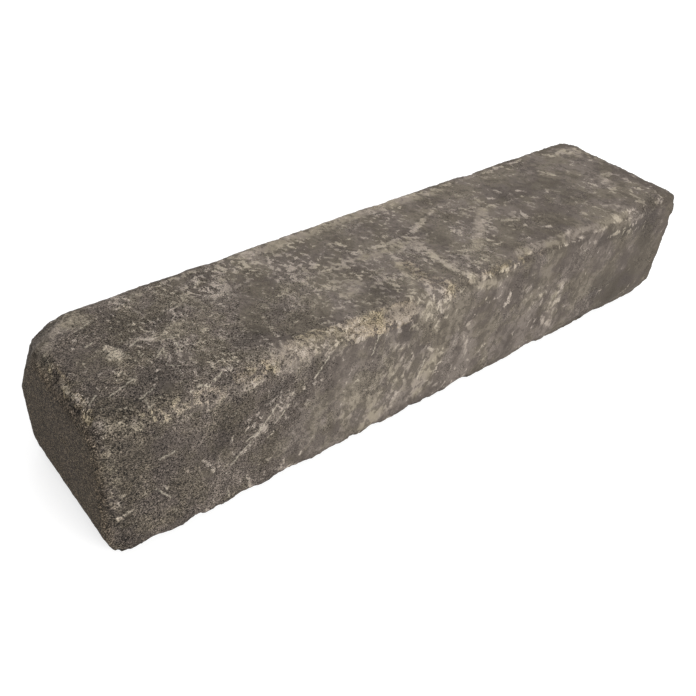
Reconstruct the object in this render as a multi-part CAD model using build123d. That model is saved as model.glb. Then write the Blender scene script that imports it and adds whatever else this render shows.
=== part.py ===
# Tumbled concrete wall block: one cast solid with knocked corners, worn arrises and chips.
# It lies on its bed face as it is laid in a wall. Millimetres, +X along the block from its
# near end to its far end, +Y from its front to its back, +Z up, origin at the bed's middle.

import os

from build123d import *

# Driving dimensions
block_length = 600.0
block_width = 150.0
block_height = 120.0
arris_radius = 7.0  # the least rounding that tumbling leaves on every edge and corner

# Signs of the two ends, the two long sides and the two beds, and of the middle between them
near, far = -1, 1
front, back = -1, 1
bottom, top = -1, 1
middle = 0

# Knocked corners: the corner, then how far the break reaches along X, Y and Z from it.
# The near back top corner took two knocks and is the roundest.
corner_breaks = [
    ((near, front, top), (11.0, 11.0, 11.0)),
    ((near, front, bottom), (13.0, 10.0, 5.0)),
    ((near, back, top), (49.0, 49.0, 37.0)),
    ((near, back, top), (24.0, 50.0, 63.0)),
    ((near, back, bottom), (14.0, 24.0, 19.0)),
    ((far, front, top), (13.0, 5.0, 16.0)),
    ((far, front, bottom), (19.0, 19.0, 17.0)),
    ((far, back, top), (14.0, 19.0, 14.0)),
    ((far, back, bottom), (18.0, 16.0, 20.0)),
]

# Worn long arrises: the side and bed that meet there, how far the wear reaches onto the bed
# at the near end, the middle and the far end, and how far onto the side at the two ends.
# The ends strike first in the tumbler, so the wear is least at the middle.
long_arris_wear = [
    ((front, top), (4.0, 2.5, 3.0), (4.0, 3.0)),
    ((back, top), (21.0, 11.0, 5.0), (19.0, 5.0)),
    ((front, bottom), (10.0, 4.5, 9.0), (3.0, 20.0)),
    ((back, bottom), (8.0, 4.0, 7.0), (8.0, 7.0)),
]

# Worn upright arrises: the end and side that meet there, how far the wear reaches onto the
# side at the bottom and at the top, and how far it reaches onto the end at the bottom
upright_arris_wear = [
    ((near, front), (15.0, 6.0), 4.0),
    ((near, back), (10.5, 5.0), 11.0),
    ((far, front), (6.0, 2.0), 10.0),
    ((far, back), (6.0, 5.0), 6.0),
]

# Worn end arrises: the end and bed that meet there, how far the wear reaches onto the bed
# at the front and at the back, and how far it reaches onto the end at the front
end_arris_wear = [
    ((near, top), (5.0, 6.0), 5.0),
    ((near, bottom), (3.5, 1.5), 11.0),
    ((far, top), (7.0, 2.0), 4.0),
    ((far, bottom), (5.0, 6.0), 5.0),
]

# Chips: the arris, with middle for the way that it runs, the place along it from -1 to 1,
# the radius of the scoop and how deep it bites into the worn arris
chips = [
    ((middle, front, bottom), -0.90, 30.0, 2.5),
    ((middle, front, bottom), -0.79, 18.0, 2.0),
    ((middle, front, bottom), -0.54, 26.0, 2.0),
    ((middle, front, bottom), -0.48, 10.0, 2.5),
    ((middle, front, bottom), -0.39, 34.0, 2.0),
    ((middle, front, bottom), -0.11, 18.0, 2.5),
    ((middle, front, bottom), 0.08, 24.0, 4.0),
    ((middle, front, bottom), 0.38, 55.0, 2.5),
    ((middle, front, bottom), 0.71, 40.0, 2.0),
    ((middle, back, top), -0.78, 65.0, 3.0),
    ((middle, back, top), -0.47, 60.0, 3.0),
    ((middle, back, top), 0.10, 45.0, 2.0),
    ((middle, back, top), 0.47, 40.0, 2.5),
    ((middle, front, top), -0.68, 70.0, 2.5),
    ((middle, front, top), -0.22, 90.0, 3.0),
    ((middle, front, top), 0.46, 50.0, 2.0),
    ((middle, back, bottom), -0.52, 60.0, 3.0),
    ((middle, back, bottom), 0.14, 35.0, 2.5),
    ((middle, back, bottom), 0.66, 70.0, 3.0),
    ((near, front, middle), -0.30, 28.0, 2.0),
    ((near, middle, top), -0.10, 45.0, 2.0),
    ((far, middle, bottom), 0.30, 50.0, 3.0),
    ((far, back, middle), -0.15, 40.0, 2.5),
]

half_block = Vector(block_length, block_width, block_height) / 2
half_core = half_block - Vector(1, 1, 1) * arris_radius
block_middle = Vector(0, 0, block_height / 2)


def core_point(signs, setback):
    """A point of the unrounded core, set back along X, Y and Z from one of its corners."""
    return block_middle + Vector(*[s * (h - d) for s, h, d in zip(signs, half_core, setback)])


def outward_plane(a, b, c):
    """The plane through three points that faces away from the middle of the block."""
    normal = (b - a).cross(c - a).normalized()
    if normal.dot(a - block_middle) < 0:
        normal = -normal
    return Plane(origin=a, z_dir=normal)


def corner_plane(signs, reach):
    along, across, up = reach
    return outward_plane(
        core_point(signs, (along, 0, 0)),
        core_point(signs, (0, across, 0)),
        core_point(signs, (0, 0, up)),
    )


def long_arris_planes(meets, bed_reach, side_reach):
    """Two planes that meet at the middle of a long arris, one for each end's half."""
    side, bed = meets
    at_near, at_middle, at_far = bed_reach
    for end, at_end, onto_side in zip((near, far), (at_near, at_far), side_reach):
        yield outward_plane(
            core_point((end, side, bed), (0, at_end, 0)),
            core_point((middle, side, bed), (0, at_middle, 0)),
            core_point((end, side, bed), (0, 0, onto_side)),
        )


def upright_arris_plane(meets, side_reach, end_reach):
    end, side = meets
    at_bottom, at_top = side_reach
    return outward_plane(
        core_point((end, side, bottom), (at_bottom, 0, 0)),
        core_point((end, side, top), (at_top, 0, 0)),
        core_point((end, side, bottom), (0, end_reach, 0)),
    )


def end_arris_plane(meets, bed_reach, end_reach):
    end, bed = meets
    at_front, at_back = bed_reach
    return outward_plane(
        core_point((end, front, bed), (at_front, 0, 0)),
        core_point((end, back, bed), (at_back, 0, 0)),
        core_point((end, front, bed), (0, 0, end_reach)),
    )


def chip_ball(block, arris, place, radius, bite):
    """A ball that bites squarely into a worn arris, seated on the block's own skin there."""
    outward = Vector(*arris)
    corner = block_middle + Vector(*[h * (place if s == middle else s) for s, h in zip(arris, half_block)])
    skin = (block & Edge.make_line(corner - outward * half_block.Z, corner)) @ 1
    return Pos(skin + outward.normalized() * (radius - bite)) * Sphere(radius)


# The core of the block, cut by its knocks and wear and then rounded all over
planes = [corner_plane(*knock) for knock in corner_breaks]
for wear in long_arris_wear:
    planes += long_arris_planes(*wear)
planes += [upright_arris_plane(*wear) for wear in upright_arris_wear]
planes += [end_arris_plane(*wear) for wear in end_arris_wear]
core = Pos(block_middle) * Box(*(half_core * 2))
for plane in planes:
    core = split(core, bisect_by=plane, keep=Keep.BOTTOM)
tumbled = offset(core, amount=arris_radius, kind=Kind.ARC)

# The chips, scooped out of the rounded arrises
wall_block = tumbled - [chip_ball(tumbled, *chip) for chip in chips]

os.makedirs("parts", exist_ok=True)
export_step(wall_block, "parts/wall_block.step")
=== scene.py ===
import math
import random

import bmesh
import bpy
from mathutils import Matrix, Vector, kdtree, noise
from mathutils.bvhtree import BVHTree


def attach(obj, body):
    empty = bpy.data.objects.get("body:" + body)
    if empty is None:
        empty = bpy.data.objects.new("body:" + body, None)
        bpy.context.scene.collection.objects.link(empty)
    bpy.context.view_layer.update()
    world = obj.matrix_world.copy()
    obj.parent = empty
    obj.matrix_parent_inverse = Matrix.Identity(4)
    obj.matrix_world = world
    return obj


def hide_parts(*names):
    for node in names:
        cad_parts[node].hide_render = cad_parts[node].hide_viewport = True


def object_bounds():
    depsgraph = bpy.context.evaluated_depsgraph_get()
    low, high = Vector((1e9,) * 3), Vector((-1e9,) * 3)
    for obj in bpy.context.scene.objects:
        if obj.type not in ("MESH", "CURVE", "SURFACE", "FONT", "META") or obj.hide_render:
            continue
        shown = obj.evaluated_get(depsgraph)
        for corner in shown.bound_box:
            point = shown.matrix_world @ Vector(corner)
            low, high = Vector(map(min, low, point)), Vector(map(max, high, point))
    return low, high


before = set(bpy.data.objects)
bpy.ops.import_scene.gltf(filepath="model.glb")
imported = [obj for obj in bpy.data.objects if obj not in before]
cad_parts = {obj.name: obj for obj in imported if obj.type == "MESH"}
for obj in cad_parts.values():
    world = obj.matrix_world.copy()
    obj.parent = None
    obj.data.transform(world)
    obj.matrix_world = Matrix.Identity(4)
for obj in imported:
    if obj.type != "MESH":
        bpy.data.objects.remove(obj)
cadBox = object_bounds()
scene = bpy.context.scene
print("frame loaded, nodes:", sorted(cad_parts))


# Camera, at the photograph's viewing angle

cameraLook = {
    "place": Vector((-0.4076, -0.4134, 0.4537)),
    "azimuth": 41.23,  # degrees from +Y towards +X
    "down": 37.78,
    "roll": 4.96,
    "lens": 41.76,
    "sensor": 36.0,
    "pixels": 696,
    "clip": 0.01,
}


def cameraAxes(look):
    turn, down, roll = (math.radians(look[key]) for key in ("azimuth", "down", "roll"))
    flat = math.cos(down)
    forward = Vector((math.sin(turn) * flat, math.cos(turn) * flat, -math.sin(down)))
    level = forward.cross(Vector((0, 0, 1))).normalized()
    upright = level.cross(forward)
    right = level * math.cos(roll) + upright * math.sin(roll)
    return right, right.cross(forward), forward


def placeCamera(look):
    data = bpy.data.cameras.new("camera")
    data.lens = look["lens"]
    data.sensor_width = look["sensor"]
    data.clip_start = look["clip"]
    right, up, forward = cameraAxes(look)
    camera = bpy.data.objects.new("camera", data)
    turned = Matrix((right, up, -forward)).transposed().to_4x4()
    camera.matrix_world = Matrix.Translation(look["place"]) @ turned
    scene.collection.objects.link(camera)
    scene.camera = camera


def pixelRay(look, pixel):
    right, up, forward = cameraAxes(look)
    focal = look["lens"] / look["sensor"] * look["pixels"]
    across, below = (p - look["pixels"] / 2 for p in pixel)
    return forward + right * (across / focal) - up * (below / focal)


placeCamera(cameraLook)
print("camera placed")


# The block's skin: the CAD solid remeshed evenly, then weathered

blockSkin = {
    "weld": 1e-5,
    "voxel": 0.002,
    "smoothPasses": 2,
    "smoothFactor": 0.5,
    "arrisBand": (0.003, 0.015),  # from an arris: full wear within the first, none past the second
    "breakWear": 0.5,  # wear on the slanted breaks
    "breakSlant": (0.06, 0.2),
    "unseenTurn": (0.3, 0.8),  # how far a normal turns to the back or down
    "broadScale": 16.0,
    "broadGrain": (0.9, 2.0, 3),  # falloff, spacing and octaves
    "broadDepth": 0.0005,
    "raggedScale": 105.0,
    "raggedGrain": (0.8, 2.1, 3),
    "raggedEdge": (-0.05, 0.6),
    "raggedDepth": 0.0022,
    "nibbleScale": 48.0,
    "nibbleEdge": (0.05, 0.6),
    "nibbleDepth": 0.0019,
    "gritScale": 260.0,
    "gritGrain": (0.6, 2.0, 2),
    "gritDepth": 0.0005,
    "gritWear": 1.5,  # how much coarser the grit is where the arris is worn
    "sandScale": 640.0,
    "sandDepth": 0.0007,
    "pitScale": 62.0,
    "pitEdge": (0.05, 0.24),
    "pitDepth": 0.0012,
    "pitShare": 0.3,
    "pitDraw": 7.3,  # spreads the cells that pick which pits are there
}


def linkObject(name, mesh):
    made = bpy.data.objects.new(name, mesh)
    scene.collection.objects.link(made)
    return made


def remeshedBlock(look):
    bm = bmesh.new()
    bm.from_mesh(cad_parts["wall_block"].data)
    bmesh.ops.remove_doubles(bm, verts=bm.verts, dist=look["weld"])
    mesh = bpy.data.meshes.new("wallBlockCast")
    bm.to_mesh(mesh)
    bm.free()
    cast = linkObject("wallBlockCast", mesh)
    remesh = cast.modifiers.new("evenSkin", "REMESH")
    remesh.mode = "VOXEL"
    remesh.voxel_size = look["voxel"]
    evaluated = cast.evaluated_get(bpy.context.evaluated_depsgraph_get())
    skin = bpy.data.meshes.new_from_object(evaluated)
    bpy.data.objects.remove(cast)
    return skin


def smoothStep(low, high, value):
    share = min(max((value - low) / (high - low), 0.0), 1.0)
    return share * share * (3 - 2 * share)


def arrisWear(vert, look):
    low, high = cadBox
    gaps = sorted(min(c - a, b - c) for c, a, b in zip(vert.co, low, high))
    slant = 1 - max(abs(n) for n in vert.normal)
    broken = look["breakWear"] * smoothStep(*look["breakSlant"], slant)
    return max(1 - smoothStep(*look["arrisBand"], gaps[1]), broken)


def asShare(value):
    return value * 0.5 + 0.5  # from -1 to 1 into 0 to 1


def weatheredDepth(co, wear, look):
    broad = asShare(noise.fractal(co * look["broadScale"], *look["broadGrain"]))
    ragged = noise.fractal(co * look["raggedScale"], *look["raggedGrain"])
    ragged = smoothStep(*look["raggedEdge"], ragged)
    nibble = smoothStep(*look["nibbleEdge"], noise.noise(co * look["nibbleScale"]))
    grit = asShare(noise.fractal(co * look["gritScale"], *look["gritGrain"]))
    grit *= 1 + wear * look["gritWear"]
    sand = asShare(noise.noise(co * look["sandScale"]))
    near, seeds = noise.voronoi(co * look["pitScale"])
    pit = 0.0
    if asShare(noise.cell(seeds[0] * look["pitDraw"])) < look["pitShare"]:
        pit = 1 - smoothStep(*look["pitEdge"], near[0])
    depth = broad * look["broadDepth"] + grit * look["gritDepth"]
    depth = depth + pit * look["pitDepth"] + sand * look["sandDepth"]
    return depth + wear * (ragged * look["raggedDepth"] + nibble * look["nibbleDepth"])


def weatherBlock(mesh, look):
    bm = bmesh.new()
    bm.from_mesh(mesh)
    axes = {"use_axis_x": True, "use_axis_y": True, "use_axis_z": True}
    for _ in range(look["smoothPasses"]):
        bmesh.ops.smooth_vert(bm, verts=bm.verts, factor=look["smoothFactor"], **axes)
    bm.normal_update()
    arris = bm.verts.layers.float.new("arris")
    flank = bm.verts.layers.float.new("flank")
    unseen = bm.verts.layers.float.new("unseen")
    for vert in bm.verts:
        vert[arris] = arrisWear(vert, look)
        vert[flank] = max(abs(vert.normal.x), abs(vert.normal.y))
        vert[unseen] = smoothStep(*look["unseenTurn"], max(vert.normal.y, -vert.normal.z))
    moves = [(vert, vert.normal * weatheredDepth(vert.co, vert[arris], look)) for vert in bm.verts]
    for vert, move in moves:
        vert.co -= move
    for face in bm.faces:
        face.smooth = True
    bm.to_mesh(mesh)
    bm.free()


blockMesh = remeshedBlock(blockSkin)
weatherBlock(blockMesh, blockSkin)
wallBlock = linkObject("wallBlock", blockMesh)
print("block skin:", len(blockMesh.polygons), "faces")


# Wear marks painted on the skin: reach in metres, strength, and places in the photograph's pixels

wearMarks = {
    "spacing": 0.0012,
    "scuff": [
        (0.0062, 0.9, [(107, 350), (113, 351), (119, 356)]),  # near half of the top
        (0.0025, 0.6, [(130, 346), (137, 340), (152, 339), (165, 334), (178, 318)]),
        (0.0035, 0.5, [(174, 318), (180, 310), (186, 316)]),
        (0.0035, 0.4, [(205, 345), (222, 343), (240, 345)]),
        (0.0030, 0.4, [(112, 372), (128, 369)]),
        (0.0040, 0.5, [(33, 346), (42, 356), (52, 368), (61, 380)]),
        (0.0040, 0.5, [(61, 380), (72, 397), (84, 408), (92, 420)]),
        (0.0070, 0.35, [(94, 424), (103, 431), (107, 438)]),
        (0.0030, 0.25, [(104, 440), (104, 453), (109, 475), (115, 494), (118, 518), (119, 534)]),
        (0.0026, 1.0, [(335, 243), (345, 246)]),  # middle of the top
        (0.0028, 0.9, [(323, 271), (342, 266), (347, 260)]),
        (0.0024, 0.5, [(220, 279), (228, 273)]),
        (0.0026, 0.45, [(205, 289), (216, 284)]),
        (0.0026, 0.7, [(245, 253), (266, 253), (270, 263)]),
        (0.0040, 0.75, [(354, 253), (366, 251), (384, 245), (409, 235), (424, 220)]),
        (0.0150, 0.3, [(352, 258), (385, 262), (420, 262), (440, 275)]),
        (0.0030, 0.75, [(279, 270), (292, 276), (306, 283)]),
        (0.0030, 0.5, [(228, 274), (236, 279)]),
        (0.0026, 0.5, [(253, 279), (258, 286)]),
        (0.0026, 0.5, [(269, 287), (276, 288)]),
        (0.0022, 0.6, [(268, 261), (279, 283)]),
        (0.0022, 0.6, [(286, 289), (300, 306), (314, 318)]),
        (0.0030, 0.45, [(283, 309), (293, 313)]),
        (0.0040, 0.7, [(326, 322), (346, 329)]),
        (0.0035, 0.5, [(352, 322), (364, 328)]),
        (0.0035, 0.45, [(263, 322), (280, 338)]),
        (0.0030, 0.5, [(221, 363), (233, 367)]),
        (0.0045, 0.5, [(384, 242), (400, 250)]),
        (0.0024, 0.5, [(351, 289), (358, 288)]),
        (0.0026, 0.8, [(366, 303), (384, 303)]),
        (0.0045, 0.75, [(400, 248), (424, 248), (448, 266), (470, 277)]),
        (0.0026, 0.6, [(428, 194), (433, 211), (411, 228)]),  # far half of the top
        (0.0028, 0.7, [(456, 195), (470, 199), (483, 208), (491, 205)]),
        (0.0026, 0.5, [(450, 245), (463, 239), (474, 248)]),
        (0.0026, 0.5, [(489, 226), (502, 234), (513, 238)]),
        (0.0026, 0.5, [(509, 202), (526, 194)]),
        (0.0030, 0.7, [(534, 170), (545, 172), (554, 175)]),
        (0.0060, 0.75, [(557, 153), (566, 151), (576, 150)]),
        (0.0028, 0.6, [(568, 199), (585, 204), (607, 211), (618, 217)]),
        (0.0028, 0.7, [(592, 176), (611, 173), (602, 183)]),
        (0.0026, 0.6, [(603, 184), (615, 193)]),
        (0.0030, 0.6, [(629, 193), (642, 199), (635, 202)]),
        (0.0032, 0.5, [(428, 303), (456, 294), (470, 283), (489, 277)]),  # far arrises
        (0.0032, 0.5, [(489, 277), (504, 271), (519, 264)]),
        (0.0030, 0.5, [(519, 264), (530, 254), (549, 251), (573, 242)]),
        (0.0030, 0.5, [(573, 242), (588, 234), (603, 229), (618, 221)]),
        (0.0035, 0.5, [(618, 221), (640, 217), (657, 208)]),
        (0.0050, 0.6, [(655, 203), (662, 199)]),
        (0.0030, 0.4, [(572, 149), (600, 160), (630, 175), (652, 187)]),
        (0.0040, 0.6, [(140, 292), (180, 277), (230, 258), (300, 232)]),
        (0.0040, 0.6, [(300, 232), (370, 207), (440, 187), (520, 160)]),
        (0.0220, 0.18, [(205, 290), (245, 275), (285, 262)]),  # crowded dabs
        (0.0140, 0.26, [(285, 292), (320, 294), (355, 298)]),
        (0.0160, 0.32, [(330, 268), (365, 258), (400, 248), (428, 238)]),
        (0.0180, 0.28, [(390, 262), (420, 272), (445, 278)]),
        (0.0160, 0.24, [(190, 338), (220, 334), (250, 330)]),
        (0.0120, 0.36, [(325, 331), (345, 327), (362, 322)]),
        (0.0085, 0.5, [(300, 352), (330, 345), (362, 336)]),
        (0.0200, 0.26, [(405, 252), (435, 262), (462, 272)]),
        (0.0180, 0.26, [(455, 236), (480, 234), (502, 240)]),
        (0.0180, 0.22, [(415, 203), (450, 198), (488, 205)]),
        (0.0160, 0.22, [(515, 222), (540, 224), (565, 228)]),
        (0.0200, 0.24, [(570, 200), (600, 207), (632, 218)]),
        (0.0140, 0.2, [(592, 170), (612, 180)]),
        (0.0200, 0.24, [(535, 285), (550, 305)]),
        (0.0160, 0.2, [(405, 330), (400, 370)]),
        (0.0160, 0.12, [(275, 410), (262, 430), (250, 445)]),
        (0.0060, 0.75, [(563, 287), (556, 302)]),  # front
        (0.0030, 0.45, [(511, 293), (509, 302)]),
        (0.0030, 0.4, [(585, 274), (578, 287)]),
        (0.0040, 0.4, [(535, 319), (550, 324)]),
        (0.0040, 0.4, [(481, 306), (468, 324)]),
        (0.0040, 0.4, [(419, 338), (405, 372), (390, 405)]),
        (0.0026, 0.5, [(427, 306), (427, 324)]),
        (0.0030, 0.5, [(270, 468), (285, 468), (300, 462)]),
        (0.0024, 0.5, [(204, 460), (210, 466), (215, 472)]),
        (0.0024, 0.6, [(155, 438), (160, 437)]),
    ],
    "ochre": [  # sandy arrises
        (0.0080, 0.35, [(150, 419), (170, 410), (190, 403), (222, 390)]),
        (0.0070, 0.7, [(240, 378), (262, 370), (296, 352)]),
        (0.0105, 1.0, [(296, 350), (321, 341), (346, 334), (362, 328), (386, 320), (409, 311)]),
        (0.0100, 0.5, [(405, 265), (430, 281), (450, 290)]),
        (0.0050, 0.5, [(52, 368), (72, 396), (92, 420)]),
        (0.0060, 0.4, [(470, 280), (504, 268), (541, 250)]),
        (0.0045, 0.2, [(106, 455), (112, 485), (118, 520)]),
    ],
    "skin": [  # whole cement skin, dark and smooth
        (0.0140, 0.8, [(298, 256), (320, 258), (342, 262)]),
        (0.0130, 0.7, [(360, 286), (386, 290)]),
        (0.0160, 0.6, [(80, 355), (95, 370)]),
        (0.0120, 0.5, [(200, 455), (230, 450)]),
        (0.0110, 0.45, [(138, 450), (160, 444), (184, 446)]),
    ],
    "slurry": [  # smeared cement, pale and smooth
        (0.0130, 0.8, [(38, 350), (44, 338), (56, 326), (74, 318)]),
        (0.0090, 0.5, [(72, 311), (100, 304), (130, 296)]),
        (0.0130, 0.7, [(284, 447), (296, 437), (306, 426), (314, 412)]),
        (0.0150, 0.9, [(318, 408), (312, 440), (330, 446)]),
        (0.0180, 0.9, [(345, 392), (350, 420), (372, 405)]),
        (0.0160, 0.8, [(395, 375), (400, 395)]),
    ],
    "shade": [  # painted shade in nicks, in the notches under the far arris, on shaded breaks and in the recess under the far top corner
        (0.0100, 0.9, [(650, 212), (650, 226), (646, 240)]),
        (0.0060, 0.8, [(124, 443), (128, 448)]),
        (0.0300, 0.55, [(648, 222), (646, 245), (630, 266)]),
        (0.0030, 0.9, [(572, 247), (578, 244), (588, 239)]),
        (0.0030, 0.9, [(609, 226), (611, 232)]),
        (0.0028, 0.8, [(528, 258), (538, 265)]),
        (0.0026, 0.8, [(556, 254), (563, 251)]),
        (0.0026, 0.8, [(512, 273), (524, 276)]),
        (0.0030, 0.7, [(496, 286), (492, 298), (483, 305)]),
        (0.0040, 0.6, [(562, 196), (568, 197)]),
        (0.0060, 0.5, [(408, 270), (425, 275), (440, 283)]),
    ],
    "film": [  # thin pale film
        (0.0110, 0.85, [(245, 256), (290, 238), (340, 219), (390, 203), (435, 190)]),  # top
        (0.0080, 0.7, [(340, 267), (352, 260), (375, 255), (400, 246), (415, 240)]),
        (0.0080, 0.8, [(410, 240), (430, 253), (450, 265), (475, 279), (495, 285)]),
        (0.0070, 0.6, [(398, 262), (414, 284)]),
        (0.0080, 0.7, [(345, 295), (356, 291)]),
        (0.0100, 0.5, [(218, 278), (240, 270), (262, 262)]),
        (0.0080, 0.5, [(285, 290), (296, 300)]),
        (0.0080, 0.8, [(482, 210), (480, 230), (477, 248)]),
        (0.0140, 0.5, [(425, 212), (445, 207)]),
        (0.0150, 0.9, [(560, 153), (578, 152)]),
        (0.0140, 0.5, [(595, 175), (612, 184)]),
        (0.0140, 0.5, [(615, 208), (630, 214)]),
        (0.0100, 0.7, [(107, 352), (117, 356)]),
        (0.0140, 0.65, [(40, 350), (46, 338), (58, 328), (74, 320)]),
        (0.0080, 0.6, [(132, 342), (150, 338), (172, 336), (176, 322)]),
        (0.0070, 0.6, [(98, 424), (115, 430), (135, 428), (150, 418)]),  # arrises
        (0.0120, 0.55, [(172, 412), (200, 402), (228, 392), (255, 378)]),
        (0.0150, 0.85, [(282, 358), (300, 352), (320, 347), (340, 342)]),
        (0.0120, 0.4, [(345, 338), (365, 331)]),
        (0.0100, 0.8, [(390, 316), (410, 312), (430, 308)]),
        (0.0070, 0.8, [(520, 252), (545, 244), (575, 235), (600, 226), (626, 214)]),
        (0.0090, 0.4, [(290, 396), (278, 412), (264, 430), (254, 444)]),  # front
        (0.0160, 0.85, [(376, 408), (368, 422)]),
        (0.0140, 0.7, [(396, 388), (386, 404)]),
        (0.0120, 0.6, [(352, 398), (345, 416)]),
        (0.0300, 0.35, [(382, 385), (410, 370), (440, 350)]),
        (0.0060, 0.5, [(108, 445), (112, 470), (116, 495), (119, 520)]),
        (0.0120, 0.5, [(165, 418), (190, 410), (215, 402), (240, 392)]),
        (0.0120, 0.9, [(432, 360), (424, 374), (415, 388)]),
        (0.0100, 0.5, [(430, 315), (436, 330)]),
        (0.0200, 0.4, [(395, 355), (385, 385)]),
        (0.0100, 0.4, [(470, 325), (462, 345)]),
        (0.0120, 0.9, [(562, 288), (556, 300), (548, 318)]),
    ],
    "dusk": [  # dark patches, and painted shade at the far end's recess and arris
        (0.0160, 0.55, [(138, 382), (152, 374), (166, 366)]),  # top
        (0.0100, 0.45, [(108, 408), (122, 406), (135, 402)]),
        (0.0140, 0.45, [(140, 394), (160, 388), (176, 380)]),
        (0.0250, 0.25, [(452, 226), (478, 222), (506, 226)]),
        (0.0120, 0.5, [(245, 340), (258, 332)]),
        (0.0100, 0.7, [(222, 385), (240, 377)]),
        (0.0140, 0.35, [(305, 260), (330, 255)]),
        (0.0120, 0.6, [(376, 292), (395, 288)]),
        (0.0120, 0.6, [(430, 232), (440, 240)]),
        (0.0350, 0.35, [(490, 195), (525, 185), (560, 190)]),
        (0.0250, 0.35, [(140, 470), (145, 500)]),  # front
        (0.0200, 0.3, [(200, 480), (185, 500)]),
        (0.0100, 0.6, [(225, 425), (222, 445)]),
        (0.0100, 0.6, [(280, 388), (268, 402)]),
        (0.0090, 0.65, [(404, 326), (410, 336)]),
        (0.0110, 0.8, [(438, 384), (434, 394)]),
        (0.0140, 0.5, [(510, 335), (506, 350)]),
        (0.0100, 0.6, [(530, 272), (538, 284)]),
        (0.0220, 0.85, [(598, 287), (614, 291), (624, 281)]),
        # painted shade in the recess under the far top corner
        (0.0160, 1.0, [(652, 210), (649, 224), (645, 238)]),
        # painted shade along the far arris, where the lamps light it strongly
        (0.0100, 0.75, [(602, 240), (620, 233), (640, 226)]),
        (0.0060, 0.5, [(98, 440), (101, 470)]),
        (0.0220, 0.25, [(288, 282), (312, 286), (335, 284)]),
    ],
    "hairlines": [
        [(75, 332), (92, 320)],
        [(86, 347), (92, 343)],
        [(110, 396), (136, 377)],
        [(89, 406), (96, 395)],
        [(140, 399), (154, 388)],
        [(171, 335), (181, 351)],
        [(157, 357), (163, 348), (166, 357)],
        [(167, 365), (180, 366)],
        [(191, 392), (200, 385), (209, 387), (222, 372)],
        [(146, 400), (149, 408)],
        [(157, 489), (171, 497)],
        [(228, 490), (229, 497)],
        [(131, 346), (138, 340), (152, 339)],
        [(159, 460), (176, 451)],
        [(278, 404), (263, 427), (247, 441)],
        [(261, 430), (231, 465)],
        [(289, 405), (278, 420)],
        [(329, 357), (314, 379)],
        [(379, 336), (372, 355)],
        [(425, 359), (417, 379)],
    ],
    "strays": {  # the same wear in places that the photograph doesn't show
        "seed": 11,
        "count": 170,
        "steps": 4,
        "length": (0.006, 0.024),
        "reach": (0.0022, 0.0036),
        "strength": (0.25, 0.65),
        "bend": 0.5,
    },
}


class SkinPainter:
    def __init__(self, mesh):
        self.mesh = mesh
        self.spots = kdtree.KDTree(len(mesh.vertices))
        for vert in mesh.vertices:
            self.spots.insert(vert.co, vert.index)
        self.spots.balance()
        corners = [vert.co for vert in mesh.vertices]
        self.shell = BVHTree.FromPolygons(corners, [face.vertices for face in mesh.polygons])

    def castPixels(self, pixels):
        eye = cameraLook["place"]
        hits = [self.shell.ray_cast(eye, pixelRay(cameraLook, pixel))[0] for pixel in pixels]
        return [hit for hit in hits if hit]

    def stroke(self, values, points, reach, strength, spacing):
        for start, end in zip(points, points[1:]):
            steps = max(int((end - start).length / spacing), 1)
            for step in range(steps + 1):
                for co, index, gap in self.spots.find_range(start.lerp(end, step / steps), reach):
                    values[index] = max(values[index], strength * (1 - (gap / reach) ** 2))

    def wander(self, look, dice):
        at = self.mesh.vertices[dice.randrange(len(self.mesh.vertices))].co.copy()
        heading = Vector([dice.uniform(-1, 1) for _ in range(3)])
        pace = dice.uniform(*look["length"]) / look["steps"]
        points = [at]
        for _ in range(look["steps"]):
            normal = self.mesh.vertices[self.spots.find(at)[1]].normal
            heading += Vector([dice.uniform(-look["bend"], look["bend"]) for _ in range(3)])
            heading -= normal * heading.dot(normal)
            heading.normalize()
            at = self.spots.find(at + heading * pace)[0]
            points.append(at)
        return points

    def save(self, name, values):
        layer = self.mesh.attributes.new(name, "FLOAT", "POINT")
        layer.data.foreach_set("value", values)


def paintWear(mesh, marks):
    painter = SkinPainter(mesh)
    spacing = marks["spacing"]
    strays = marks["strays"]
    dice = random.Random(strays["seed"])
    for name in ("scuff", "ochre", "skin", "slurry", "shade", "film", "dusk"):
        values = [0.0] * len(mesh.vertices)
        for reach, strength, pixels in marks[name]:
            painter.stroke(values, painter.castPixels(pixels), reach, strength, spacing)
        if name == "scuff":
            for _ in range(strays["count"]):
                points = painter.wander(strays, dice)
                reach = dice.uniform(*strays["reach"])
                strength = dice.uniform(*strays["strength"])
                painter.stroke(values, points, reach, strength, spacing)
        painter.save(name, values)
    lines = [painter.castPixels(pixels) for pixels in marks["hairlines"]]
    return [pair for line in lines for pair in zip(line, line[1:])]


hairlines = paintWear(blockMesh, wearMarks)
print("wear painted,", len(hairlines), "hairlines")


# Node helpers

def colour(red, green, blue):
    parts = [c / 255 for c in (red, green, blue)]  # screen values, turned into linear light
    return tuple(c / 12.92 if c <= 0.04045 else ((c + 0.055) / 1.055) ** 2.4 for c in parts) + (1.0,)


def feed(tree, socket, value):
    if isinstance(value, bpy.types.NodeSocket):
        tree.links.new(value, socket)
    else:
        socket.default_value = value


def addNode(tree, kind, **settings):
    made = tree.nodes.new("ShaderNode" + kind)
    for name, value in settings.items():
        setattr(made, name, value)
    return made


def calc(tree, operation, *values, clamp=False):
    made = addNode(tree, "Math", operation=operation, use_clamp=clamp)
    for socket, value in zip(made.inputs, values):
        feed(tree, socket, value)
    return made.outputs[0]


def vectorCalc(tree, operation, *values):
    made = addNode(tree, "VectorMath", operation=operation)
    for socket, value in zip(made.inputs, values):
        feed(tree, socket, value)
    return made


def ranged(tree, value, low, high, toLow=0.0, toHigh=1.0):
    made = addNode(tree, "MapRange", interpolation_type="SMOOTHSTEP")
    ends = {"Value": value, "From Min": low, "From Max": high, "To Min": toLow, "To Max": toHigh}
    for name, at in ends.items():
        feed(tree, made.inputs[name], at)
    return made.outputs["Result"]


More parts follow.
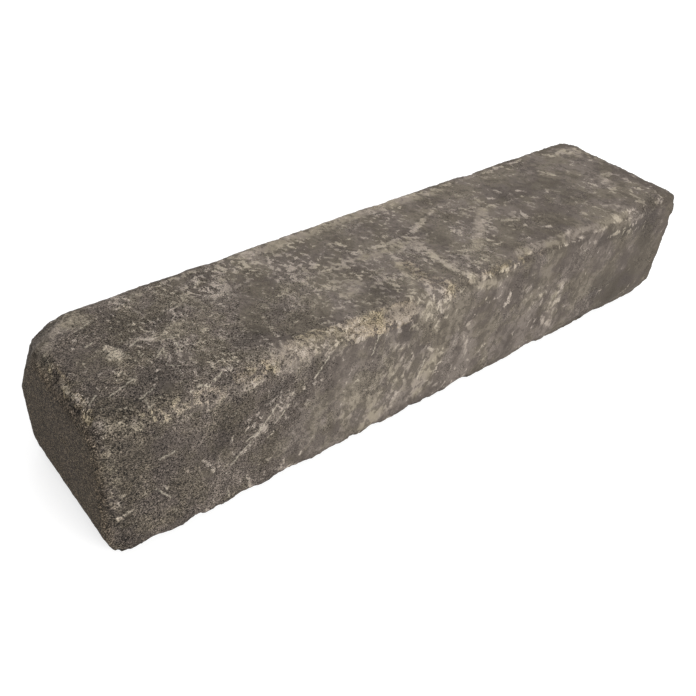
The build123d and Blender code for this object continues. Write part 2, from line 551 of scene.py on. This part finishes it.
def mixed(tree, factor, a, b, blend="MIX"):
    made = addNode(tree, "Mix", data_type="RGBA", blend_type=blend)
    feed(tree, made.inputs[0], factor)
    feed(tree, made.inputs[6], a)
    feed(tree, made.inputs[7], b)
    return made.outputs[2]


def blended(tree, factor, a, b):
    made = addNode(tree, "Mix", data_type="FLOAT")
    for socket, value in zip((made.inputs[0], made.inputs[2], made.inputs[3]), (factor, a, b)):
        feed(tree, socket, value)
    return made.outputs[0]


def spread(tree, value, gain, base):
    swing = calc(tree, "SUBTRACT", value, 0.5)  # about the middle of a noise
    return calc(tree, "MULTIPLY_ADD", swing, gain, base)


def eased(tree, value, loss, mask):
    return calc(tree, "MULTIPLY", value, calc(tree, "MULTIPLY_ADD", mask, -loss, 1.0))


def placed(tree, coords, turn=(0, 0, 0), stretch=(1, 1, 1), shift=(0, 0, 0)):
    made = addNode(tree, "Mapping", vector_type="TEXTURE")
    feed(tree, made.inputs["Vector"], coords)
    made.inputs["Rotation"].default_value = [math.radians(a) for a in turn]
    made.inputs["Scale"].default_value = stretch
    made.inputs["Location"].default_value = shift
    return made.outputs["Vector"]


def noisy(tree, coords, scale, detail=3.0, rough=0.55, twist=0.0):
    made = addNode(tree, "TexNoise")
    feed(tree, made.inputs["Vector"], coords)
    settings = {"Scale": scale, "Detail": detail, "Roughness": rough, "Distortion": twist}
    for name, value in settings.items():
        made.inputs[name].default_value = value
    return made.outputs["Fac"]


def pattern(tree, coords, look):
    lay = {key: value for key, value in look.items() if key != "noise"}
    return noisy(tree, placed(tree, coords, **lay) if lay else coords, *look["noise"])


def grained(tree, coords, scale):
    made = addNode(tree, "TexVoronoi", feature="F1")
    feed(tree, made.inputs["Vector"], coords)
    made.inputs["Scale"].default_value = scale
    parts = addNode(tree, "SeparateColor")
    feed(tree, parts.inputs["Color"], made.outputs["Color"])
    return parts.outputs["Red"]


def painted(tree, name):
    return addNode(tree, "Attribute", attribute_name=name).outputs["Fac"]


# Concrete finish

concreteLook = {
    "nearDark": colour(65, 58, 49),
    "nearLight": colour(93, 84, 73),
    "farDark": colour(96, 88, 80),
    "farLight": colour(119, 111, 102),
    "skin": colour(96, 88, 81),
    "slurry": colour(128, 120, 110),
    "endFace": colour(104, 92, 77),
    # colour of the painted shade in hollows, nicks, recesses and along the far arrises
    "shade": colour(80, 73, 67),
    "pale": colour(172, 163, 149),
    "ochre": colour(166, 150, 117),
    "film": colour(152, 143, 128),
    "dusk": (0.56, 0.56, 0.575, 1.0),
    "scratch": colour(184, 175, 158),
    "olive": colour(100, 92, 79),
    "plum": colour(100, 91, 86),
    # along the block, in metres
    "nearToFar": (-0.36, -0.06),
    "sandy": (-0.34, -0.04),
    "sandySlant": 0.2,
    "coarser": (0.0, 0.14),
    "endDepth": (-0.2995, -0.293),
    "unseen": (0.6, 0.55),  # far tone and smoothness of the back and the underside
    "flankTurn": (0.55, 0.8),
    # patterns: scale, detail, roughness and twist of the noise, and how it lies on the block
    "bands": {"noise": (55, 3, 0.5), "turn": (0, 14, 0), "stretch": (1, 1, 3.2)},
    "clouds": {"noise": (19, 5, 0.6)},
    "patches": {"noise": (66, 4, 0.65, 0.3), "shift": (4, 2, 9)},
    "islands": {"noise": (30, 5, 0.6, 0.6), "shift": (3, 1, 2)},
    "dabsNear": {"noise": (225, 5, 0.62, 0.4), "turn": (0, 0, -66), "stretch": (1.2, 1, 1)},
    "dabsFar": {"noise": (145, 5, 0.62, 0.4), "turn": (0, 0, -66), "stretch": (1.2, 1, 1)},
    "dabsSide": {"noise": (180, 5, 0.62, 0.4), "turn": (0, 12, 0), "stretch": (1, 1, 1.25)},
    "crowd": {"noise": (18, 2, 0.5), "shift": (7, 4, 1)},
    "thick": {"noise": (44, 4, 0.6), "shift": (1, 8, 6)},
    "tint": {"noise": (34, 4, 0.6), "shift": (2, 5, 3)},
    "fine": {"noise": (900, 2, 0.6)},
    "breaks": {"noise": (560, 2, 0.6)},
    # cement
    "patchGain": 0.5,
    "bandGain": 0.85,
    "cloudRange": (0.36, 0.64),
    "islandGain": 0.22,
    "islandEdge": (0.63, 0.72),
    "ochreRough": 0.8,
    "skinCover": (0.6, 0.1),  # at the near and far end
    "slurryCover": 0.8,
    # pale crust
    "dabGain": 1.75,
    "crowdGain": 0.8,
    "fleckLift": (-0.05, -0.1, -0.035, 0.18),  # smooth skin, long sides, far half, past the near end
    "fleckDrop": 0.2,
    "fleckEdge": (0.52, 0.64),
    "scuffGain": 1.5,
    "scuffEdge": (0.36, 0.66),
    "thickRange": (0.38, 0.62, 0.35, 0.9),
    "hollowShadeRange": (0.2, 0.34, 0.6, 0.0),
    "sandGain": 2.8,
    "sandRange": (0.1, 0.9, 0.0, 0.85),
    "sandGate": (0.0, 0.3),
    "filmGain": 1.0,
    "filmRange": (0.15, 0.9, 0.0, 0.75),
    "duskGain": 0.8,
    "duskRange": (0.1, 0.8),
    "arrisShadeCover": 0.4,
    "tintRange": (0.42, 0.58),
    "tintShare": 0.4,
    "endCover": 0.6,
    # sand grains
    "cellScale": 1700,
    "cellGain": 2.8,
    "grainScale": 950,
    "grainGain": 0.9,
    "grainBase": -0.3,
    "pitRange": (-0.5, -0.2, -3.4, 0.0),
    "grit": (1.35, 0.35),  # contrast at the near and far end
    "gritLoss": (0.78, 0.35, -0.3),  # on smooth skin and crust, and a gain on the end face
    "markGrit": 0.18,
    "filmLoss": 0.7,
    # scratches
    "hairline": (0.0003, 0.0010),
    "breakRange": (0.36, 0.56, 0.1, 0.7),
    "shakeScale": 520,
    "shake": (0.003, 0.003, 0.003),
    # surface
    "roughness": 0.92,
    "gloss": 0.2,
    "bumpStrength": 0.5,
    "bumpDepth": 0.0008,
    "crustHeight": 0.7,
}


def hairlineMask(tree, coords, lines, widths):
    mask = None
    for start, end in lines:
        run = end - start
        away = vectorCalc(tree, "SUBTRACT", coords, tuple(start)).outputs["Vector"]
        along = vectorCalc(tree, "DOT_PRODUCT", away, tuple(run / run.length_squared)).outputs["Value"]
        along = calc(tree, "ADD", along, 0.0, clamp=True)
        spot = addNode(tree, "VectorMath", operation="SCALE")
        spot.inputs[0].default_value = run
        feed(tree, spot.inputs["Scale"], along)
        gap = vectorCalc(tree, "DISTANCE", away, spot.outputs["Vector"]).outputs["Value"]
        line = ranged(tree, gap, *widths, 1.0, 0.0)
        mask = calc(tree, "MAXIMUM", mask, line) if mask else line
    return mask


def concreteFinish(look, lines):
    made = bpy.data.materials.new("tumbledConcrete")
    made.use_nodes = True
    tree = made.node_tree
    tree.nodes.clear()
    coords = addNode(tree, "TexCoord").outputs["Object"]
    split = addNode(tree, "SeparateXYZ")
    feed(tree, split.inputs["Vector"], coords)
    along = split.outputs["X"]
    unseen = painted(tree, "unseen")
    unseenFar, unseenSmooth = look["unseen"]
    farther = blended(tree, unseen, ranged(tree, along, *look["nearToFar"]), unseenFar)
    corner = calc(tree, "MULTIPLY_ADD", split.outputs["Y"], look["sandySlant"], along)
    smoother = blended(tree, unseen, ranged(tree, corner, *look["sandy"]), unseenSmooth)
    coarser = ranged(tree, along, *look["coarser"])
    ending = ranged(tree, along, *look["endDepth"], 1.0, 0.0)
    flank = ranged(tree, painted(tree, "flank"), *look["flankTurn"])
    scuffed = painted(tree, "scuff")
    ochre = painted(tree, "ochre")
    slurry = painted(tree, "slurry")

    # cement: broad clouds, drawn down the long sides, darker where the smooth skin is whole
    patches = pattern(tree, coords, look["patches"])
    cloud = spread(tree, patches, look["patchGain"], pattern(tree, coords, look["clouds"]))
    drawn = calc(tree, "MULTIPLY", flank, look["bandGain"])
    cloud = spread(tree, pattern(tree, coords, look["bands"]), drawn, cloud)
    cloud = ranged(tree, cloud, *look["cloudRange"])
    nearTone = mixed(tree, cloud, look["nearDark"], look["nearLight"])
    farTone = mixed(tree, cloud, look["farDark"], look["farLight"])
    base = mixed(tree, farther, nearTone, farTone)
    islands = pattern(tree, coords, look["islands"])
    islands = calc(tree, "MULTIPLY_ADD", smoother, look["islandGain"], islands)
    bare = calc(tree, "MAXIMUM", painted(tree, "skin"), slurry)
    smooth = calc(tree, "MAXIMUM", ranged(tree, islands, *look["islandEdge"]), bare)
    rough = calc(tree, "MULTIPLY", ochre, look["ochreRough"])
    smooth = calc(tree, "SUBTRACT", smooth, rough, clamp=True)
    covered = calc(tree, "MULTIPLY", smooth, blended(tree, smoother, *look["skinCover"]))
    base = mixed(tree, covered, base, look["skin"])
    base = mixed(tree, calc(tree, "MULTIPLY", slurry, look["slurryCover"]), base, look["slurry"])

    # pale crust: crisp dabs in clusters, slanted on the long sides, thickest along the painted marks
    nearDabs = pattern(tree, coords, look["dabsNear"])
    farDabs = pattern(tree, coords, look["dabsFar"])
    sideDabs = pattern(tree, coords, look["dabsSide"])
    dabs = blended(tree, flank, blended(tree, coarser, nearDabs, farDabs), sideDabs)
    dabs = spread(tree, dabs, look["dabGain"], 0.5)
    flecks = spread(tree, pattern(tree, coords, look["crowd"]), look["crowdGain"], dabs)
    for mask, lift in zip((smooth, flank, coarser, farther), look["fleckLift"]):
        flecks = calc(tree, "MULTIPLY_ADD", mask, lift, flecks)
    flecks = calc(tree, "SUBTRACT", flecks, look["fleckDrop"])
    scuff = ranged(tree, spread(tree, dabs, look["scuffGain"], scuffed), *look["scuffEdge"])
    crust = calc(tree, "MAXIMUM", ranged(tree, flecks, *look["fleckEdge"]), scuff)
    sand = ranged(tree, spread(tree, dabs, look["sandGain"], ochre), *look["sandRange"])
    sand = calc(tree, "MULTIPLY", sand, ranged(tree, ochre, *look["sandGate"]))
    base = mixed(tree, sand, base, look["ochre"])
    film = spread(tree, dabs, look["filmGain"], painted(tree, "film"))
    film = ranged(tree, film, *look["filmRange"])
    base = mixed(tree, film, base, look["film"])
    # dark patches in the cement; at the far end the dusk layer is painted shade
    dusk = spread(tree, patches, look["duskGain"], painted(tree, "dusk"))
    base = mixed(tree, ranged(tree, dusk, *look["duskRange"]), base, look["dusk"], "MULTIPLY")
    thick = ranged(tree, pattern(tree, coords, look["thick"]), *look["thickRange"])
    base = mixed(tree, calc(tree, "MULTIPLY", crust, thick), base, look["pale"])
    # painted shade in the hollows between the raised pale flecks, where the fleck pattern is lowest
    base = mixed(tree, ranged(tree, flecks, *look["hollowShadeRange"]), base, look["shade"])
    # painted shade where the shade layer is painted
    base = mixed(tree, painted(tree, "shade"), base, look["shade"])
    # painted shade: the far half's arrises darkened, where the lamps light them more than the faces
    # beside them
    arrisShade = calc(tree, "MULTIPLY", painted(tree, "arris"), farther)
    arrisShade = calc(tree, "MULTIPLY", arrisShade, look["arrisShadeCover"])
    base = mixed(tree, eased(tree, arrisShade, 1.0, crust), base, look["shade"])
    tint = ranged(tree, pattern(tree, coords, look["tint"]), *look["tintRange"])
    tint = mixed(tree, tint, look["olive"], look["plum"])
    base = mixed(tree, look["tintShare"], base, tint, "COLOR")
    base = mixed(tree, calc(tree, "MULTIPLY", ending, look["endCover"]), base, look["endFace"])

    # sand grains, calmer on smooth skin, crust and film
    cells = calc(tree, "SUBTRACT", grained(tree, coords, look["cellScale"]), 0.5)
    grains = grained(tree, coords, look["grainScale"])
    specks = spread(tree, grains, look["grainGain"], look["grainBase"])
    specks = calc(tree, "MULTIPLY_ADD", cells, look["cellGain"], specks)
    specks = calc(tree, "ADD", specks, ranged(tree, cells, *look["pitRange"]))
    contrast = blended(tree, smoother, *look["grit"])
    for mask, loss in zip((smooth, crust, ending), look["gritLoss"]):
        contrast = eased(tree, contrast, loss, mask)
    marked = calc(tree, "MAXIMUM", ochre, scuffed)
    contrast = calc(tree, "MULTIPLY_ADD", marked, look["markGrit"], contrast)
    contrast = eased(tree, contrast, look["filmLoss"], film)
    lit = calc(tree, "POWER", 2.0, calc(tree, "MULTIPLY", specks, contrast))
    base = mixed(tree, 1.0, base, lit, "MULTIPLY")

    # thin scratches, shaken and broken
    shake = addNode(tree, "TexNoise")
    feed(tree, shake.inputs["Vector"], coords)
    shake.inputs["Scale"].default_value = look["shakeScale"]
    shaken = vectorCalc(tree, "SUBTRACT", shake.outputs["Color"], (0.5, 0.5, 0.5)).outputs["Vector"]
    shaken = vectorCalc(tree, "MULTIPLY_ADD", shaken, look["shake"], coords).outputs["Vector"]
    thin = hairlineMask(tree, shaken, lines, look["hairline"])
    breaks = ranged(tree, pattern(tree, coords, look["breaks"]), *look["breakRange"])
    base = mixed(tree, calc(tree, "MULTIPLY", thin, breaks), base, look["scratch"])

    shader = addNode(tree, "BsdfPrincipled")
    feed(tree, shader.inputs["Base Color"], base)
    shader.inputs["Roughness"].default_value = look["roughness"]
    shader.inputs["Specular IOR Level"].default_value = look["gloss"]
    height = calc(tree, "ADD", flecks, pattern(tree, coords, look["fine"]))
    bump = addNode(tree, "Bump")
    bump.inputs["Strength"].default_value = look["bumpStrength"]
    bump.inputs["Distance"].default_value = look["bumpDepth"]
    feed(tree, bump.inputs["Height"], calc(tree, "MULTIPLY_ADD", crust, look["crustHeight"], height))
    feed(tree, shader.inputs["Normal"], bump.outputs["Normal"])
    out = addNode(tree, "OutputMaterial")
    feed(tree, out.inputs["Surface"], shader.outputs["BSDF"])
    return made


blockMesh.materials.clear()
blockMesh.materials.append(concreteFinish(concreteLook, hairlines))
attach(wallBlock, "root")
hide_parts("wall_block")
print("concrete finish set")


# Pale floor, white backdrop and soft light

studioLook = {
    "floorSize": 4.0,
    "floorTone": (0.45, 0.45, 0.45, 1.0),
    "floorLift": (0.74, 0.87),  # by the block and out at the edge, for the camera and reflections
    "liftReach": (0.5, 1.8),
    "backdrop": (1.0, 1.0, 1.0, 1.0),
    "ambient": 0.3,
    "lamps": [  # name, place, aim, size and watts
        ("overhead", (0.2, 0.1, 1.6), (0.05, 0.0, 0.06), 1.4, 8.0),
        ("frontKey", (0.05, -1.6, 0.75), (0.0, 0.0, 0.06), 1.0, 33.0),
        ("backFill", (0.4, 1.6, 0.9), (0.0, 0.0, 0.06), 1.2, 14.0),
    ],
}


def backdropRays(tree):
    rays = addNode(tree, "LightPath")
    seen = calc(tree, "MAXIMUM", rays.outputs["Is Camera Ray"], rays.outputs["Is Glossy Ray"])
    return calc(tree, "MAXIMUM", seen, rays.outputs["Is Transmission Ray"])


def layFloor(look):
    bm = bmesh.new()
    bmesh.ops.create_grid(bm, x_segments=1, y_segments=1, size=look["floorSize"])
    mesh = bpy.data.meshes.new("floor")
    bm.to_mesh(mesh)
    bm.free()
    floor = linkObject("floor", mesh)
    paper = bpy.data.materials.new("paleFloor")
    paper.use_nodes = True
    tree = paper.node_tree
    tree.nodes.clear()
    matte = addNode(tree, "BsdfDiffuse")
    matte.inputs["Color"].default_value = look["floorTone"]
    lift = addNode(tree, "Emission")
    away = vectorCalc(tree, "LENGTH", addNode(tree, "TexCoord").outputs["Object"]).outputs["Value"]
    shine = ranged(tree, away, *look["liftReach"], *look["floorLift"])
    feed(tree, lift.inputs["Strength"], calc(tree, "MULTIPLY", backdropRays(tree), shine))
    both = addNode(tree, "AddShader")
    feed(tree, both.inputs[0], matte.outputs[0])
    feed(tree, both.inputs[1], lift.outputs[0])
    feed(tree, addNode(tree, "OutputMaterial").inputs["Surface"], both.outputs[0])
    mesh.materials.append(paper)


def hangLamps(look):
    for name, place, target, size, watts in look["lamps"]:
        data = bpy.data.lights.new(name, "AREA")
        data.shape = "SQUARE"
        data.size = size
        data.energy = watts
        lamp = bpy.data.objects.new(name, data)
        lamp.location = place
        lamp.rotation_euler = (Vector(target) - Vector(place)).to_track_quat("-Z", "Y").to_euler()
        scene.collection.objects.link(lamp)


def whiteWorld(look):
    world = bpy.data.worlds.new("studio")
    scene.world = world
    world.use_nodes = True
    tree = world.node_tree
    tree.nodes.clear()
    sky = addNode(tree, "Background")
    sky.inputs["Color"].default_value = look["backdrop"]
    lit = ranged(tree, backdropRays(tree), 0.0, 1.0, look["ambient"], 1.0)
    feed(tree, sky.inputs["Strength"], lit)
    feed(tree, addNode(tree, "OutputWorld").inputs["Surface"], sky.outputs[0])


layFloor(studioLook)
hangLamps(studioLook)
whiteWorld(studioLook)
scene.view_settings.view_transform = "Standard"
print("floor, lamps and backdrop set")
